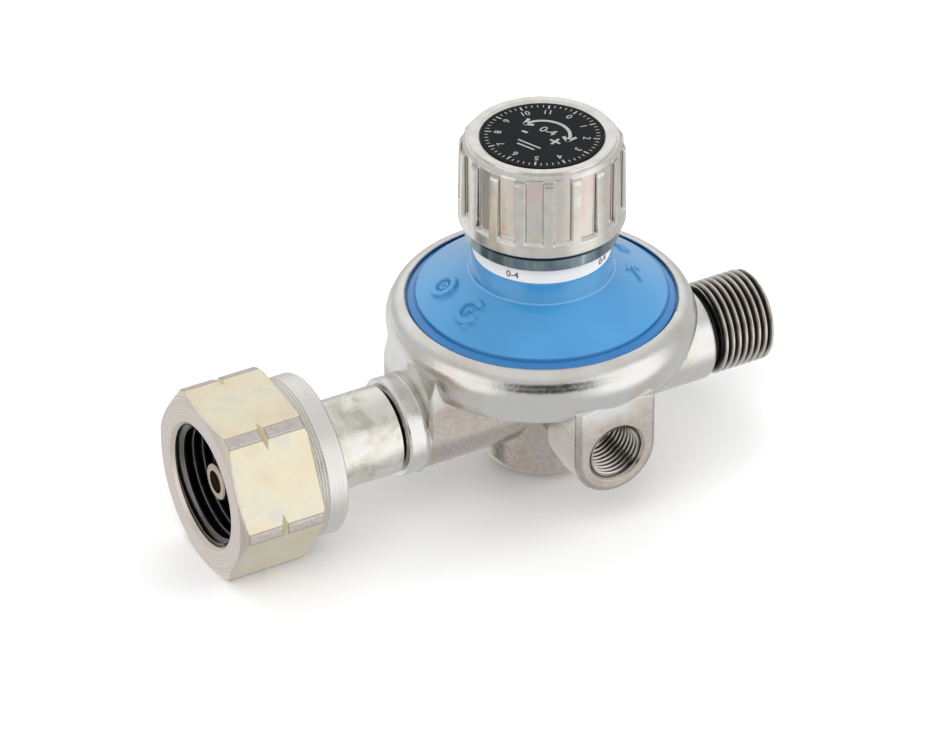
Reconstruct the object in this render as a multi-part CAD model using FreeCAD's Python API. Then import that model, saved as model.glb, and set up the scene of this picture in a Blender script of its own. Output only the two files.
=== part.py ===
"""Adjustable gas pressure regulator with a union nut inlet, threaded outlet and gauge port.

Units are millimetres. The origin is the centre of the union nut's mouth. +X runs along the gas
axis from the inlet nut to the outlet thread, +Z runs up towards the knob, and the gauge port
faces -Y. Heights are measured from the gas axis, which lies at z = 0.
"""
import FreeCAD, Part
import math
import os

V = FreeCAD.Vector
X_AXIS, Y_AXIS, Z_AXIS = V(1, 0, 0), V(0, 1, 0), V(0, 0, 1)

# ---- overall layout -------------------------------------------------------------------
KNOB_X = 66.2               # knob, spring and valve share this vertical axis
RIM_Z = 8.1                 # lower edge of the body's rim
RUN = 0.05                  # radial clearance of a running fit
PUSH = 0.02                 # radial clearance of a pushed-in fit

# ---- union nut, W21.8 x 1/14 left hand ------------------------------------------------
NUT_FLATS = 30.0
NUT_CORNER_R = 16.9         # corners are turned down to this radius
NUT_NOTCH_X = 7.5           # V notch around the corners, which marks a left-hand thread
NUT_NOTCH_R = 16.0
NUT_NOTCH_HALF = 1.0
NUT_TURN_DEG = -26.0        # the hexagon's rest angle about the gas axis
NUT_HEX_END = 15.1
NUT_END = 21.0
NUT_COLLAR_R = 14.2
NUT_THREAD_R = 10.9
NUT_THREAD_LEN = 13.2
NUT_FACE_R = 15.0           # flat front ring inside the chamfer
NUT_CHAMFER = 0.85
NUT_MOUTH = 0.6             # countersink of the threaded mouth

# ---- inlet stem and nipple ------------------------------------------------------------
STEM_R = 7.9
STEM_FRONT = 12.0
STEM_BORE_R = 3.2
STEM_TAIL_R = 6.8
STEM_NECK_X = 34.8          # a groove is left open between here and the arm
NIPPLE_TIP_X = 2.8
NIPPLE_TIP_R = 3.3
NIPPLE_BORE_R = 2.05
NIPPLE_HEAD_X = 8.6
NIPPLE_HEAD_R = 9.3
SEAL_X = 6.6                # the tip is turned smaller from here on, under its seal
NIPPLE_SEAL_R = 3.1

# ---- body casting ---------------------------------------------------------------------
ARM_X = 35.6                # end face of the inlet arm
ARM_R = 8.8
WEB_X = 39.6                # end face of the web above the inlet arm
WEB_HALF = 8.5
WEB_TOP = 14.6              # the web runs up the rim and slopes into it
OUTLET_WEB_END = 90.7
OUTLET_WEB_TOP = 9.1
RIM_LOW_R = 25.4
RIM_MAX_R = 26.85
LIP_R = 23.5
LIP_TOP = 17.9
POCKET_R = 24.3             # pocket that holds the bonnet flange and the diaphragm
LEDGE_Z = 14.2
CHAMBER_R = 20.5
FLOOR_Z = 10.3
HUB_R = 10.7
HUB_BOTTOM = -13.6
HUB_ROUND = 2.0
SHANK_END = 97.4            # outlet shank, cast with the body
SHANK_R = 8.6
PORT_FACE_Y = -26.0
PORT_HALF = 7.8
PORT_TOP = 10.9             # the boss runs up the rim and slopes into it
PORT_BLOCK = 12.1           # length of the block, then a neck back to the hub
PORT_NECK_HALF = 5.6
PORT_TAPER = 2.0
PORT_ROUND = 1.1
PORT_CHAMFER = 0.45
PORT_THREAD_R = 5.0         # M10 x 1
PORT_THREAD_LEN = 12.0
VALVE_R = 5.5
VALVE_BOTTOM = -9.0
GAS_R = 2.5

# ---- outlet nipple, G3/8 left hand ----------------------------------------------------
OUTLET_THREAD_R = 8.33
OUTLET_ROOT_R = 7.45
OUTLET_THREAD_X = 98.2
OUTLET_END = 109.2
OUTLET_BORE_R = 4.0
OUTLET_TAIL_R = 6.4
OUTLET_TAIL_X = 88.0

# ---- bonnet ---------------------------------------------------------------------------
FLANGE_R = 24.15
FLANGE_Z = 15.9
BONNET_EDGE_R = 23.2
CONE_LOW_R, CONE_LOW_Z = 21.8, 18.65
NECK_LOW_R, NECK_LOW_Z = 12.9, 24.0
NECK_TOP_R, NECK_TOP_Z = 12.35, 27.4
TOWER_R = 11.0
TOWER_TOP = 41.4
SPRING_BORE_R = 9.3
TOWER_CEILING = 37.8
SCALE_R = 11.9
SCALE_TOP = 36.0

# ---- knob -----------------------------------------------------------------------------
KNOB_LOW = 33.8
KNOB_TOP = 49.7
KNOB_R = 14.35
KNOB_HIGH_R, KNOB_HIGH_Z = 14.1, 47.4   # the side leans in a little up to here
KNOB_RING_R = 12.64
FLUTES = 18
FLUTE_TURN_DEG = -5.1
FLUTE_HALF = 1.55
FLUTE_FLOOR_R = 13.45
FLUTE_LOW = 35.8
FLUTE_TOP = 48.9
SKIRT_R = 13.23
SKIRT_LOW = 30.6
SKIRT_IN_R = 12.15
LABEL_R = 10.56

# ---- adjusting screw, springs and valve -----------------------------------------------
SPINDLE_R = 4.0             # M8, 1.25 mm pitch
SEAT_Z = 33.0               # underside of the upper spring seat at rest
PLATE_TOP = 16.6
SPRING_MEAN_R = 6.9
SPRING_WIRE_R = 1.15
ORIFICE_R = 1.7


def outline(path):
    """Closed face in the XZ plane. A point is (u, w), or (u, w, mid_u, mid_w) to reach it by an arc."""
    edges = []
    for start, end in zip(path, path[1:] + path[:1]):
        a, b = V(start[0], 0, start[1]), V(end[0], 0, end[1])
        if len(end) == 4:
            edges.append(Part.Arc(a, V(end[2], 0, end[3]), b).toShape())
        else:
            edges.append(Part.LineSegment(a, b).toShape())
    return Part.Face(Part.Wire(edges))


def turned_z(path, x=KNOB_X):
    """Solid of revolution about a vertical axis, from a path of (radius, z) points."""
    face = outline(path)
    face.translate(V(x, 0, 0))
    return face.revolve(V(x, 0, 0), Z_AXIS, 360)


def turned_x(path):
    """Solid of revolution about the gas axis, from a path of (x, radius) points."""
    return outline(path).revolve(V(0, 0, 0), X_AXIS, 360)


def rod(radius, start, length, axis=X_AXIS):
    """Plain cylinder that runs from the point start for a length along axis."""
    return Part.makeCylinder(radius, length, start, axis)


def rod_x(radius, x0, x1):
    return rod(radius, V(x0, 0, 0), x1 - x0)


def rod_z(radius, z0, z1, x=KNOB_X, y=0.0):
    return rod(radius, V(x, y, z0), z1 - z0, Z_AXIS)


def tube_z(outer, inner, z0, z1):
    return rod_z(outer, z0, z1).cut(rod_z(inner, z0, z1))


def tube_x(outer, inner, x0, x1):
    return rod_x(outer, x0, x1).cut(rod_x(inner, x0, x1))


def hexagon(flats, x0, x1, turn_deg):
    """Hexagonal prism along the gas axis."""
    corner = flats / math.sqrt(3)
    points = []
    for k in range(7):
        a = math.radians(turn_deg + 60 * k)
        points.append(V(x0, -corner * math.sin(a), corner * math.cos(a)))
    return Part.Face(Part.makePolygon(points)).extrude(V(x1 - x0, 0, 0))


def o_ring(major, wire, centre, axis):
    return Part.makeTorus(major, wire, centre, axis)


def coil(mean_r, wire_r, z0, z1, turns):
    """Compression spring of round wire that fills the height from z0 to z1."""
    height = z1 - z0 - 2 * wire_r
    helix = Part.makeHelix(height / turns, height, mean_r)
    section = Part.Wire(Part.makeCircle(wire_r, V(mean_r, 0, 0), Y_AXIS))
    wire = Part.Wire(helix).makePipeShell([section], True, True)
    wire.translate(V(KNOB_X, 0, z0 + wire_r))
    return wire


def u_prism(half, length, top):
    """Prism along +X from x = 0 with a round bottom of radius half and flat sides up to top."""
    low, side = V(0, 0, -half), V(0, -half, 0)
    edges = [Part.LineSegment(V(0, -half, top), side).toShape(),
             Part.Arc(side, low, V(0, half, 0)).toShape(),
             Part.LineSegment(V(0, half, 0), V(0, half, top)).toShape(),
             Part.LineSegment(V(0, half, top), V(0, -half, top)).toShape()]
    return Part.Face(Part.Wire(edges)).extrude(V(length, 0, 0))


def end_edges(solid, x, top):
    """Edges that lie in the plane at x, apart from the one along the top."""
    found = []
    for edge in solid.Edges:
        box = edge.BoundBox
        flat = abs(box.XMin - x) < 1e-4 and abs(box.XMax - x) < 1e-4
        if flat and box.ZMin < top - 1e-4:
            found.append(edge)
    return found


# ---- housing --------------------------------------------------------------------------
def rim():
    """Dish with its rolled-over lip."""
    return turned_z([(0, 7.9), (24.9, 7.9), (RIM_LOW_R, RIM_Z + 0.3, 25.25, 8.0),
                     (RIM_MAX_R, 12.9, 26.3, 10.5), (26.3, 15.75, 26.8, 14.5),
                     (24.0, LIP_TOP, 25.43, 17.12),
                     (LIP_R, 17.5, 23.6, 17.85), (LIP_R, 16.85), (POCKET_R, 16.85),
                     (POCKET_R, LEDGE_Z), (CHAMBER_R, LEDGE_Z), (CHAMBER_R, FLOOR_Z), (0, FLOOR_Z)])


def hub():
    """Valve chamber under the dish."""
    r, z = HUB_R, HUB_BOTTOM
    bend = HUB_ROUND * math.sqrt(0.5)
    return turned_z([(0, z), (r - HUB_ROUND, z),
                     (r, z + HUB_ROUND, r - HUB_ROUND + bend, z + HUB_ROUND - bend),
                     (r, 7.2), (r + 1.2, 8.4, r + 0.35, 8.05), (0, 8.4)])


def web(half, length, top, corner_round):
    """Wall from the gas axis up to a height, with its upright end edges rounded, along +X."""
    wall = u_prism(half, length, top)
    upright = []
    for edge in end_edges(wall, 0, top):
        if edge.BoundBox.ZLength > top - 0.1 and edge.BoundBox.YLength < 0.01:
            upright.append(edge)
    return wall.makeFillet(corner_round, upright)


def inlet_arm():
    """Round socket end, the parting line around it, and the web that carries it."""
    socket = turned_x([(ARM_X, 0), (ARM_X, ARM_R - 0.5), (ARM_X + 0.5, ARM_R, ARM_X + 0.15, ARM_R - 0.15),
                       (WEB_X - 0.75, ARM_R - 0.1), (WEB_X - 0.6, ARM_R + 0.08),
                       (WEB_X - 0.45, ARM_R - 0.1), (WEB_X, WEB_HALF), (60.0, WEB_HALF), (60.0, 0)])
    wall = web(WEB_HALF, KNOB_X - WEB_X, WEB_TOP, 0.6)
    wall.translate(V(WEB_X, 0, 0))
    slope = turned_z([(0, -20), (30, -20), (30, 8.6), (27.9, 8.6), (27.1, 11.5), (26.5, WEB_TOP), (0, WEB_TOP)])
    return socket.fuse(wall.common(slope))


def outlet_arm():
    """Outlet shank and the short web that carries it under the rim."""
    shank = turned_x([(70.0, 0), (70.0, SHANK_R), (SHANK_END - 1.3, SHANK_R - 0.08),
                      (SHANK_END - 0.5, SHANK_R - 0.4, SHANK_END - 0.8, SHANK_R - 0.18),
                      (SHANK_END, SHANK_R - 1.0), (SHANK_END, 0)])
    wall = u_prism(WEB_HALF, OUTLET_WEB_END - KNOB_X, OUTLET_WEB_TOP)
    wall.translate(V(KNOB_X, 0, 0))
    return shank.fuse(wall)


def port_boss():
    """U-shaped block that faces -Y, rounded in front and tapered behind, on a narrower neck."""
    block = u_prism(PORT_HALF, PORT_BLOCK, PORT_TOP)
    block = block.makeFillet(PORT_ROUND, end_edges(block, 0, PORT_TOP))
    block = block.makeChamfer(PORT_TAPER, end_edges(block, PORT_BLOCK, PORT_TOP))
    boss = block.fuse(u_prism(PORT_NECK_HALF, -PORT_FACE_Y, PORT_TOP))
    boss.rotate(V(0, 0, 0), Z_AXIS, 90)
    boss.translate(V(KNOB_X, PORT_FACE_Y, 0))
    slope = turned_z([(0, -20), (30, -20), (30, 9.4), (27.2, 9.4), (25.2, PORT_TOP), (0, PORT_TOP)])
    return boss.common(slope)


def gas_ways():
    """Everything that is bored out of the casting."""
    valve = rod_z(VALVE_R, VALVE_BOTTOM, FLOOR_Z + 1)
    inlet = rod_x(GAS_R, ARM_X, KNOB_X)
    stem_socket = rod_x(STEM_TAIL_R + PUSH, ARM_X - 1, 50.0)
    nipple_socket = rod_x(OUTLET_TAIL_R + PUSH, OUTLET_TAIL_X, SHANK_END + 1)
    outlet = rod_x(OUTLET_BORE_R, KNOB_X + 10.0, OUTLET_TAIL_X + 1)
    riser = rod_z(GAS_R, 0, FLOOR_Z + 1, KNOB_X + 13.0)
    port = rod(PORT_THREAD_R, V(KNOB_X, PORT_FACE_Y - 1, 0), PORT_THREAD_LEN + 1, Y_AXIS)
    mouth = Part.makeCone(PORT_THREAD_R + PORT_CHAMFER, PORT_THREAD_R, PORT_CHAMFER,
                          V(KNOB_X, PORT_FACE_Y, 0), Y_AXIS)
    tip = Part.makeCone(PORT_THREAD_R - 0.5, 0.6, 2.4, V(KNOB_X, PORT_FACE_Y + PORT_THREAD_LEN, 0), Y_AXIS)
    gauge_riser = rod_z(1.0, 0, FLOOR_Z + 1, KNOB_X, PORT_FACE_Y + PORT_THREAD_LEN + 1.2)
    return [valve, inlet, stem_socket, nipple_socket, outlet, riser, port, mouth, tip, gauge_riser]


def body_casting():
    solid = rim().multiFuse([hub(), inlet_arm(), outlet_arm(), port_boss()])
    chamber = turned_z([(0, FLOOR_Z), (CHAMBER_R, FLOOR_Z), (CHAMBER_R, LEDGE_Z), (POCKET_R, LEDGE_Z),
                        (POCKET_R, 16.85), (LIP_R, 16.85), (LIP_R, LIP_TOP + 5), (0, LIP_TOP + 5)])
    return solid.cut([chamber] + gas_ways()).removeSplitter()


def bonnet():
    """Cover with its sloping cone, the neck and the threaded tower that the screw runs in."""
    return turned_z([(21.0, FLANGE_Z), (FLANGE_R, FLANGE_Z), (FLANGE_R, 16.8), (BONNET_EDGE_R, 16.8),
                     (BONNET_EDGE_R, 17.2), (22.9, 17.55, 23.1, 17.45), (22.05, 17.95), (21.95, 17.8),
                     (CONE_LOW_R, 17.85), (CONE_LOW_R, 18.4),
                     (21.6, CONE_LOW_Z, 21.74, 18.58),
                     (13.35, 23.72), (NECK_LOW_R, 24.35, 12.98, 24.0),
                     (NECK_TOP_R + 0.1, NECK_TOP_Z - 0.3), (NECK_TOP_R - 0.2, NECK_TOP_Z, 12.4, 27.3),
                     (TOWER_R, NECK_TOP_Z), (TOWER_R, TOWER_TOP - 1.0), (TOWER_R - 1.0, TOWER_TOP),
                     (SPINDLE_R, TOWER_TOP), (SPINDLE_R, TOWER_CEILING), (SPRING_BORE_R, TOWER_CEILING),
                     (SPRING_BORE_R, 24.2), (19.8, 18.0), (19.8, 16.9), (21.0, 16.9)])


def scale_ring():
    return turned_z([(TOWER_R + PUSH, NECK_TOP_Z), (SCALE_R, NECK_TOP_Z), (SCALE_R, SCALE_TOP - 0.3),
                     (SCALE_R - 0.3, SCALE_TOP), (TOWER_R + PUSH, SCALE_TOP)])


def clamp_ring():
    """Slip ring between the bonnet flange and the diaphragm."""
    return tube_z(FLANGE_R, 20.8, 15.4, FLANGE_Z)


def diaphragm():
    """Rubber disc with one convolution between its clamped edge and the plate."""
    return turned_z([(2.1, 14.2), (13.6, 14.2), (15.0, 13.9), (17.3, 12.6, 16.2, 12.9),
                     (19.3, 14.2, 18.6, 13.0), (24.2, 14.2), (24.2, 15.4), (18.8, 15.4),
                     (17.3, 13.9, 18.0, 14.2), (15.4, 15.1, 16.5, 14.3), (13.6, 15.4), (2.1, 15.4)])


# ---- diaphragm stack ------------------------------------------------------------------
def diaphragm_plate():
    return turned_z([(2.1, 15.45), (12.4, 15.45), (13.0, 16.1, 12.85, 15.6), (13.0, 17.0),
                     (12.0, 17.0), (12.0, PLATE_TOP), (2.1, PLATE_TOP)])


def diaphragm_washer():
    return turned_z([(2.1, 13.2), (7.4, 13.2), (7.8, 13.6), (7.8, 14.15), (2.1, 14.15)])


def diaphragm_rivet():
    return turned_z([(0, 11.6), (1.6, 11.6), (2.05, 12.0), (3.4, 12.2), (3.4, 13.15), (2.05, 13.15),
                     (2.05, PLATE_TOP + 0.05), (4.0, PLATE_TOP + 0.05), (4.0, 17.4), (3.2, 18.2), (0, 18.2)])


# ---- valve ----------------------------------------------------------------------------
def valve_seat():
    """Nozzle screwed into the chamber floor, with its knife edge facing down."""
    return turned_z([(ORIFICE_R, 2.0), (2.3, 2.0), (3.2, 3.4), (4.2, 3.4), (4.2, 4.8), (3.9, 5.0),
                     (3.9, 6.6), (VALVE_R - PUSH, 6.6), (VALVE_R - PUSH, FLOOR_Z),
                     (4.4, FLOOR_Z + 0.2), (ORIFICE_R, FLOOR_Z + 0.2)])


def valve_seat_oring():
    return o_ring(4.68, 0.74, V(KNOB_X, 0, 5.8), Z_AXIS)


def poppet():
    """Valve disc holder with the push pin that reaches the diaphragm rivet."""
    return turned_z([(0, -5.0), (2.0, -5.0), (2.0, -2.2), (4.4, -2.2), (4.8, -1.8), (4.8, 1.6),
                     (3.7, 1.6), (3.7, 0.2), (0.95, 0.2), (0.95, 11.4), (0.6, 11.56), (0, 11.56)])


def poppet_seal():
    return tube_z(3.65, 1.0, 0.25, 1.95)


def poppet_spring():
    return coil(3.1, 0.4, VALVE_BOTTOM, -2.25, 5)


# ---- pressure adjustment --------------------------------------------------------------
def main_spring():
    return coil(SPRING_MEAN_R, SPRING_WIRE_R, PLATE_TOP + 0.02, SEAT_Z - 0.02, 4.5)


def spring_seat():
    """Upper plate with a locating boss below and a ball socket on top."""
    plate = turned_z([(0, SEAT_Z - 1.6), (4.6, SEAT_Z - 1.6), (5.1, SEAT_Z - 1.1), (5.1, SEAT_Z),
                      (SPRING_BORE_R - RUN, SEAT_Z), (SPRING_BORE_R - RUN, SEAT_Z + 1.6),
                      (4.6, SEAT_Z + 1.9), (0, SEAT_Z + 1.9)])
    return plate.cut(Part.makeSphere(2.02, V(KNOB_X, 0, SEAT_Z + 2.6)))


def thrust_ball():
    return Part.makeSphere(1.98, V(KNOB_X, 0, SEAT_Z + 2.6))


def adjusting_spindle():
    """Screw that runs in the tower; its square-shouldered top is clamped in the knob."""
    shaft = turned_z([(0, SEAT_Z + 2.2), (3.2, SEAT_Z + 2.2), (SPINDLE_R - RUN, SEAT_Z + 2.9),
                      (SPINDLE_R - RUN, 44.2), (5.4, 44.2), (5.4, 45.55), (2.98, 45.55),
                      (2.98, 48.9), (2.7, 49.15), (0, 49.15)])
    return shaft.cut(Part.makeSphere(2.02, V(KNOB_X, 0, SEAT_Z + 2.6)))


def flute():
    """Cutter for one grip recess: round-topped, with a sloping lower end."""
    depth_r = FLUTE_FLOOR_R
    out = KNOB_R + 2.0
    arch = FLUTE_TOP - FLUTE_HALF
    front = [Part.LineSegment(V(depth_r, -FLUTE_HALF, arch), V(depth_r, -FLUTE_HALF, FLUTE_LOW + 0.9)),
             Part.LineSegment(V(depth_r, -FLUTE_HALF, FLUTE_LOW + 0.9), V(depth_r, FLUTE_HALF, FLUTE_LOW + 0.9)),
             Part.LineSegment(V(depth_r, FLUTE_HALF, FLUTE_LOW + 0.9), V(depth_r, FLUTE_HALF, arch)),
             Part.Arc(V(depth_r, FLUTE_HALF, arch), V(depth_r, 0, FLUTE_TOP), V(depth_r, -FLUTE_HALF, arch))]
    slot = Part.Face(Part.Wire([s.toShape() for s in front])).extrude(V(out - depth_r, 0, 0))
    slope = Part.makePolygon([V(depth_r, -FLUTE_HALF, FLUTE_LOW + 1.0), V(out, -FLUTE_HALF, FLUTE_LOW + 1.0),
                              V(out, -FLUTE_HALF, FLUTE_LOW - 1.2), V(depth_r, -FLUTE_HALF, FLUTE_LOW + 0.9),
                              V(depth_r, -FLUTE_HALF, FLUTE_LOW + 1.0)])
    ramp = Part.Face(slope).extrude(V(0, 2 * FLUTE_HALF, 0))
    return slot.fuse(ramp)


def knob():
    """Fluted cap, hollow below, with a recess on top for the label and the nut under it."""
    blank = turned_z([(12.9, KNOB_LOW), (KNOB_R - 0.35, KNOB_LOW),
                      (KNOB_R, KNOB_LOW + 0.35, KNOB_R - 0.1, KNOB_LOW + 0.1),
                      (KNOB_HIGH_R, KNOB_HIGH_Z), (KNOB_HIGH_R - 0.35, KNOB_HIGH_Z + 0.7,
                                                   KNOB_HIGH_R - 0.08, KNOB_HIGH_Z + 0.45),
                      (12.95, 49.2), (12.75, 49.1),
                      (KNOB_RING_R, 49.2), (KNOB_RING_R, KNOB_TOP - 0.2),
                      (KNOB_RING_R - 0.2, KNOB_TOP, KNOB_RING_R - 0.06, KNOB_TOP - 0.06),
                      (11.35, KNOB_TOP), (LABEL_R + 0.1, KNOB_TOP - 0.25), (LABEL_R + 0.1, 49.2),
                      (6.2, 49.2), (6.2, 46.6), (3.0, 46.6), (3.0, 45.6), (5.6, 45.6), (5.6, 44.6),
                      (12.2, 44.6), (12.2, 38.0), (12.9, 38.0)])
    cutters = []
    for k in range(FLUTES):
        cutter = flute()
        cutter.rotate(V(0, 0, 0), Z_AXIS, FLUTE_TURN_DEG + k * 360.0 / FLUTES)
        cutter.translate(V(KNOB_X, 0, 0))
        cutters.append(cutter)
    return blank.cut(cutters)


def knob_skirt():
    """Polished sleeve pushed into the knob's lower end."""
    return turned_z([(SKIRT_IN_R, SKIRT_LOW), (SKIRT_R - 0.15, SKIRT_LOW), (SKIRT_R, SKIRT_LOW + 0.15),
                     (SKIRT_R, KNOB_LOW - 0.1), (12.9 - PUSH, KNOB_LOW - 0.1), (12.9 - PUSH, 37.9),
                     (SKIRT_IN_R, 37.9)])


def knob_label():
    return rod_z(LABEL_R, 49.2, 49.5)


def knob_nut():
    """Hexagon nut that holds the spindle in the knob."""
    corner = 10.0 / math.sqrt(3)
    points = [V(KNOB_X + corner * math.cos(math.radians(60 * k)),
                corner * math.sin(math.radians(60 * k)), 46.6) for k in range(7)]
    return Part.Face(Part.makePolygon(points)).extrude(V(0, 0, 2.2)).cut(rod_z(3.0, 46.0, 49.0))


# ---- inlet ----------------------------------------------------------------------------
def inlet_stem():
    """Tube from the union nut to the body, with a reduced tail in the casting's socket."""
    return turned_x([(STEM_FRONT, STEM_BORE_R), (STEM_FRONT, STEM_R), (STEM_NECK_X, STEM_R),
                     (STEM_NECK_X, STEM_TAIL_R), (42.0, STEM_TAIL_R), (42.0, 5.6),
                     (43.9, 5.6), (43.9, STEM_TAIL_R), (49.4, STEM_TAIL_R), (50.0, STEM_TAIL_R - 0.6),
                     (50.0, STEM_BORE_R)])


def stem_oring():
    return o_ring(6.2, 0.58, V(42.95, 0, 0), X_AXIS)


def inlet_filter():
    """Mesh disc in its cup, pushed into the stem behind the nipple."""
    cup = tube_x(STEM_BORE_R - PUSH, 2.7, 16.5, 20.0)
    return cup.fuse(rod_x(2.7, 19.4, 20.0))


def inlet_nipple():
    """Head that the nut pulls against, with the tip that enters the bottle valve."""
    return turned_x([(NIPPLE_TIP_X, NIPPLE_BORE_R), (NIPPLE_TIP_X, NIPPLE_TIP_R - 0.35),
                     (NIPPLE_TIP_X + 0.35, NIPPLE_TIP_R, NIPPLE_TIP_X + 0.1, NIPPLE_TIP_R - 0.1),
                     (SEAL_X, NIPPLE_TIP_R), (SEAL_X, NIPPLE_SEAL_R),
                     (NIPPLE_HEAD_X, NIPPLE_SEAL_R), (NIPPLE_HEAD_X, NIPPLE_HEAD_R - 0.3),
                     (NIPPLE_HEAD_X + 0.3, NIPPLE_HEAD_R), (STEM_FRONT, NIPPLE_HEAD_R),
                     (STEM_FRONT, STEM_BORE_R - PUSH), (16.0, STEM_BORE_R - PUSH), (16.0, NIPPLE_BORE_R)])


def nipple_seal():
    return turned_x([(SEAL_X + PUSH, NIPPLE_SEAL_R + PUSH), (SEAL_X + PUSH, 8.3), (SEAL_X + 0.6, 8.9),
                     (NIPPLE_HEAD_X, 8.9), (NIPPLE_HEAD_X, NIPPLE_SEAL_R + PUSH)])


def nut_thrust_washer():
    """Washer between the nipple's head and the shoulder inside the nut."""
    return tube_x(9.6, STEM_R + RUN, STEM_FRONT + 0.05, NUT_THREAD_LEN - 0.1)


def union_nut():
    """Hexagon nut with turned-down corners, corner notches and a grooved round collar."""
    turned_blank = turned_x([(0, STEM_R + RUN + 0.03), (0, NUT_FACE_R), (NUT_CHAMFER, NUT_CORNER_R),
                             (NUT_HEX_END - 0.5, NUT_CORNER_R), (NUT_HEX_END, 16.3),
                             (NUT_HEX_END, STEM_R + RUN + 0.03)])
    notch = turned_x([(NUT_NOTCH_X, NUT_NOTCH_R), (NUT_NOTCH_X - NUT_NOTCH_HALF, 17.4),
                      (NUT_NOTCH_X + NUT_NOTCH_HALF, 17.4)])
    head = hexagon(NUT_FLATS, 0, NUT_HEX_END, NUT_TURN_DEG).common(turned_blank).cut(notch)
    rib = NUT_COLLAR_R
    grooves = []
    for k in range(4):
        x = NUT_HEX_END + 0.35 + 0.55 * k
        grooves += [(x, rib - 0.22), (x + 0.14, rib - 0.22), (x + 0.2, rib), (x + 0.42, rib)]
    collar = turned_x([(NUT_HEX_END - 1, STEM_R + RUN + 0.03), (NUT_HEX_END - 1, rib - 0.22)] + grooves
                      + [(NUT_END - 0.5, rib), (NUT_END, rib - 0.5, NUT_END - 0.15, rib - 0.15),
                         (NUT_END, STEM_R + RUN + 0.03)])
    mouth = Part.makeCone(NUT_THREAD_R + NUT_MOUTH, NUT_THREAD_R, NUT_MOUTH, V(0, 0, 0), X_AXIS)
    return head.fuse(collar).cut([rod_x(NUT_THREAD_R, -1, NUT_THREAD_LEN), mouth])


# ---- outlet ---------------------------------------------------------------------------
def outlet_nipple():
    """Threaded stud in the outlet shank, with a cone seat in its mouth."""
    return turned_x([(OUTLET_TAIL_X, OUTLET_BORE_R), (OUTLET_TAIL_X, OUTLET_TAIL_R),
                     (SHANK_END, OUTLET_TAIL_R), (SHANK_END, OUTLET_ROOT_R),
                     (OUTLET_THREAD_X, OUTLET_ROOT_R), (OUTLET_THREAD_X, OUTLET_THREAD_R),
                     (OUTLET_END - 0.5, OUTLET_THREAD_R), (OUTLET_END, OUTLET_THREAD_R - 0.5),
                     (OUTLET_END, 5.6), (OUTLET_END - 2.8, OUTLET_BORE_R)])


PARTS = [
    body_casting, bonnet, scale_ring, clamp_ring, diaphragm, diaphragm_plate, diaphragm_washer,
    diaphragm_rivet, valve_seat, valve_seat_oring, poppet, poppet_seal, poppet_spring, main_spring,
    spring_seat, thrust_ball, adjusting_spindle, knob, knob_skirt, knob_label, knob_nut, inlet_stem,
    stem_oring, inlet_filter, inlet_nipple, nipple_seal, nut_thrust_washer, union_nut, outlet_nipple,
]

os.makedirs("parts", exist_ok=True)
for make in PARTS:
    shape = make()
    name = make.__name__
    shape.exportStep(f"parts/{name}.step")
    box = shape.BoundBox
    print(f"{name:20s} solids {len(shape.Solids)} valid {shape.isValid()} volume {shape.Volume:9.1f} "
          f"x {box.XMin:6.1f} {box.XMax:6.1f} y {box.YMin:6.1f} {box.YMax:6.1f} z {box.ZMin:6.1f} {box.ZMax:6.1f}")
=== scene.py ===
"""Looks of an adjustable gas pressure regulator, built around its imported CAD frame.

Lengths are in millimetres unless a name says otherwise, and MM turns them into metres. +X is the
gas axis from the inlet nut to the outlet thread, +Z the knob axis, and the gauge port faces -Y.
"""
import math
import bmesh
import bpy
from mathutils import Matrix, Vector


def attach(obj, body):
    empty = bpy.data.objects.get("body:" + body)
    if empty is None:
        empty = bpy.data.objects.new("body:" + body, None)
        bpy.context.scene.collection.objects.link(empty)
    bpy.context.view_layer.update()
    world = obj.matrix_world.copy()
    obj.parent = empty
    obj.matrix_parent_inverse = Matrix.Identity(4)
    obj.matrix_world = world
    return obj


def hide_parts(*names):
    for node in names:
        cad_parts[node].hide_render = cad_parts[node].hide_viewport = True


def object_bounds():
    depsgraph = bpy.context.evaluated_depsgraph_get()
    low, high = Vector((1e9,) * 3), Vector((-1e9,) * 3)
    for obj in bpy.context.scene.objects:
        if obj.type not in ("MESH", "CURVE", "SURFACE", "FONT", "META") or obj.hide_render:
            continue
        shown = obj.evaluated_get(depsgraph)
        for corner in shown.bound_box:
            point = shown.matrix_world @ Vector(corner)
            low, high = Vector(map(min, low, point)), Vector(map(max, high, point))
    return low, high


MM = 0.001
TURN = 2 * math.pi
LEFT_HAND = -1

# ---- driving dimensions -----------------------------------------------------------------
# The CAD's own, except that the visible cone ends 0.75 mm nearer the knob axis (CONE_HIGH_R), the
# neck above is up to 0.5 mm slimmer, and the flutes' upper corners are less round. The threads'
# crests, roots and pitches are added, because the CAD's threads are plain cylinders.
KNOB_X = 66.2
NUT_THREAD_R = 10.9
NUT_CREST_R = 9.95
NUT_PITCH = 1.814
NUT_THREAD_LEN = 13.2
PORT_FACE_Y = -26.0
PORT_THREAD_R = 5.0
PORT_CREST_R = 4.46
PORT_PITCH = 1.0
PORT_THREAD_LEN = 12.0
SHANK_END = 97.4
OUTLET_TAIL_X = 88.0
OUTLET_TAIL_R = 6.4
OUTLET_THREAD_X = 98.2
OUTLET_END = 109.2
OUTLET_THREAD_R = 8.33
OUTLET_ROOT_R = 7.45
OUTLET_PITCH = 1.337
OUTLET_BORE_R = 4.0
PORT_MOUTH_DEPTH = 0.5
CONE_STEP_R = 21.65
CONE_LOW_R, CONE_LOW_Z = 21.6, 18.65
CONE_HIGH_R, CONE_HIGH_Z = 12.60, 23.55
SCALE_R = 11.9
LABEL_R = 10.56
LABEL_TOP = 49.5
KNOB_LOW = 33.8
KNOB_TOP = 49.7
KNOB_R = 14.35
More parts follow.
